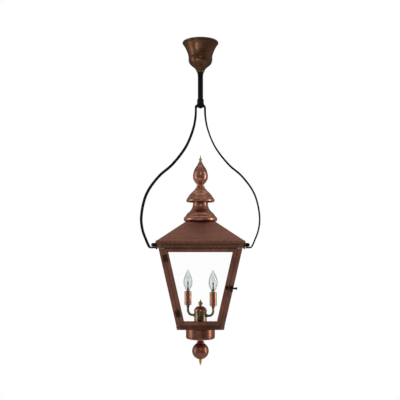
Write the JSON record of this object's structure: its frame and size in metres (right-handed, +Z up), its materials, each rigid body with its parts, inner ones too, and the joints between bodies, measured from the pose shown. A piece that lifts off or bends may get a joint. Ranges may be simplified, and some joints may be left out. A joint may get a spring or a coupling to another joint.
{
  "type": "hanging lantern",
  "caption": "Tapered square copper lantern with hipped roof, glazed door and candle lamps, tilting in a bow-shaped flat-bar yoke under a bell canopy.",
  "frame": {"origin": "centre of the canopy at the ceiling plane, on the axis of the stem", "axes": "+Z up along the stem, X along the pivot axis, the glazed door faces -Y"},
  "size_m": [0.4264, 0.2904, 1.1466],
  "materials": {
    "aged_copper": "hand-rubbed dark copper patina",
    "spun_copper": "spun copper, satin",
    "antique_bronze": "spun, antique bronze",
    "black_iron": "black satin powder coat on steel",
    "brass": "polished brass",
    "olive_brass": "olive antique brass",
    "rose_copper": "bright rose copper",
    "zinc_steel": "zinc-plated",
    "dark_brass": "oil-rubbed dark brass",
    "socket_plastic": "black phenolic",
    "clear_glass": "clear float glass",
    "bulb_glass": "clear blown glass"
  },
  "bodies": {
    "ceiling": {"ceiling_crossbar": "zinc_steel", "flanged_nipple": "brass", "swivel_housing": "brass"},
    "stem": {"swivel_stud": "black_iron", "stem": "black_iron", "yoke_collar": "black_iron", "yoke": "black_iron", "pivot_boss_left": "black_iron", "pivot_boss_right": "black_iron"},
    "canopy": {"canopy": "antique_bronze", "canopy_ring": "brass"},
    "door": {"door_frame": "aged_copper", "door_glass": "clear_glass", "door_leaf_upper": "dark_brass", "door_leaf_lower": "dark_brass", "latch_keeper": "dark_brass"},
    "latch": {"latch_bolt": "dark_brass"},
    "lantern": {"roof": "aged_copper", "top_frame": "aged_copper", "corner_post_front_left": "aged_copper", "corner_post_front_right": "aged_copper", "corner_post_back_right": "aged_copper", "corner_post_back_left": "aged_copper", "base_frame": "aged_copper", "base_plate": "aged_copper", "rosette_left": "aged_copper", "rosette_right": "aged_copper", "chimney": "spun_copper", "dome_cap": "spun_copper", "finial_lower": "spun_copper", "finial_upper": "spun_copper", "bottom_cup": "spun_copper", "ball_upper": "spun_copper", "ball_lower": "spun_copper", "finial_rod": "brass", "finial_tip": "brass", "bottom_tip": "brass", "centre_rod": "brass", "hub_finial": "brass", "hub_cup": "olive_brass", "lamp_arm_left": "olive_brass", "lamp_arm_right": "olive_brass", "hub_dome": "rose_copper", "candle_cover_left": "rose_copper", "candle_cover_right": "rose_copper", "cap_spider": "zinc_steel", "pivot_bolt_left": "zinc_steel", "pivot_bolt_right": "zinc_steel", "post_leaf_upper": "dark_brass", "post_leaf_lower": "dark_brass", "hinge_pin_upper": "dark_brass", "hinge_pin_lower": "dark_brass", "latch_guide": "dark_brass", "lamp_socket_left": "socket_plastic", "lamp_socket_right": "socket_plastic", "glass_left": "clear_glass", "glass_right": "clear_glass", "glass_back": "clear_glass", "bulb_left": "bulb_glass", "bulb_right": "bulb_glass"}
  },
  "joints": [
    {"name": "stem_swivel", "type": "hinge", "parent": "ceiling", "child": "stem", "pos_m": [0, 0, -0.038], "axis": [0, 0, 1], "range_deg": [-175, 175]},
    {"name": "canopy_drop", "type": "slide", "parent": "stem", "child": "canopy", "axis": [0, 0, -1], "range_m": [0, 0.09]},
    {"name": "lantern_tilt", "type": "hinge", "parent": "stem", "child": "lantern", "pos_m": [0, 0, -0.7276], "axis": [1, 0, 0], "range_deg": [-20, 20]},
    {"name": "door_hinge", "type": "hinge", "parent": "lantern", "child": "door", "pos_m": [-0.11697, -0.13407, -0.77251], "axis": [0.21, 0.21, -0.9549], "range_deg": [0, 110]},
    {"name": "latch_slide", "type": "slide", "parent": "lantern", "child": "latch", "axis": [-1, 0, 0], "range_m": [0, 0.009]}
  ]
}
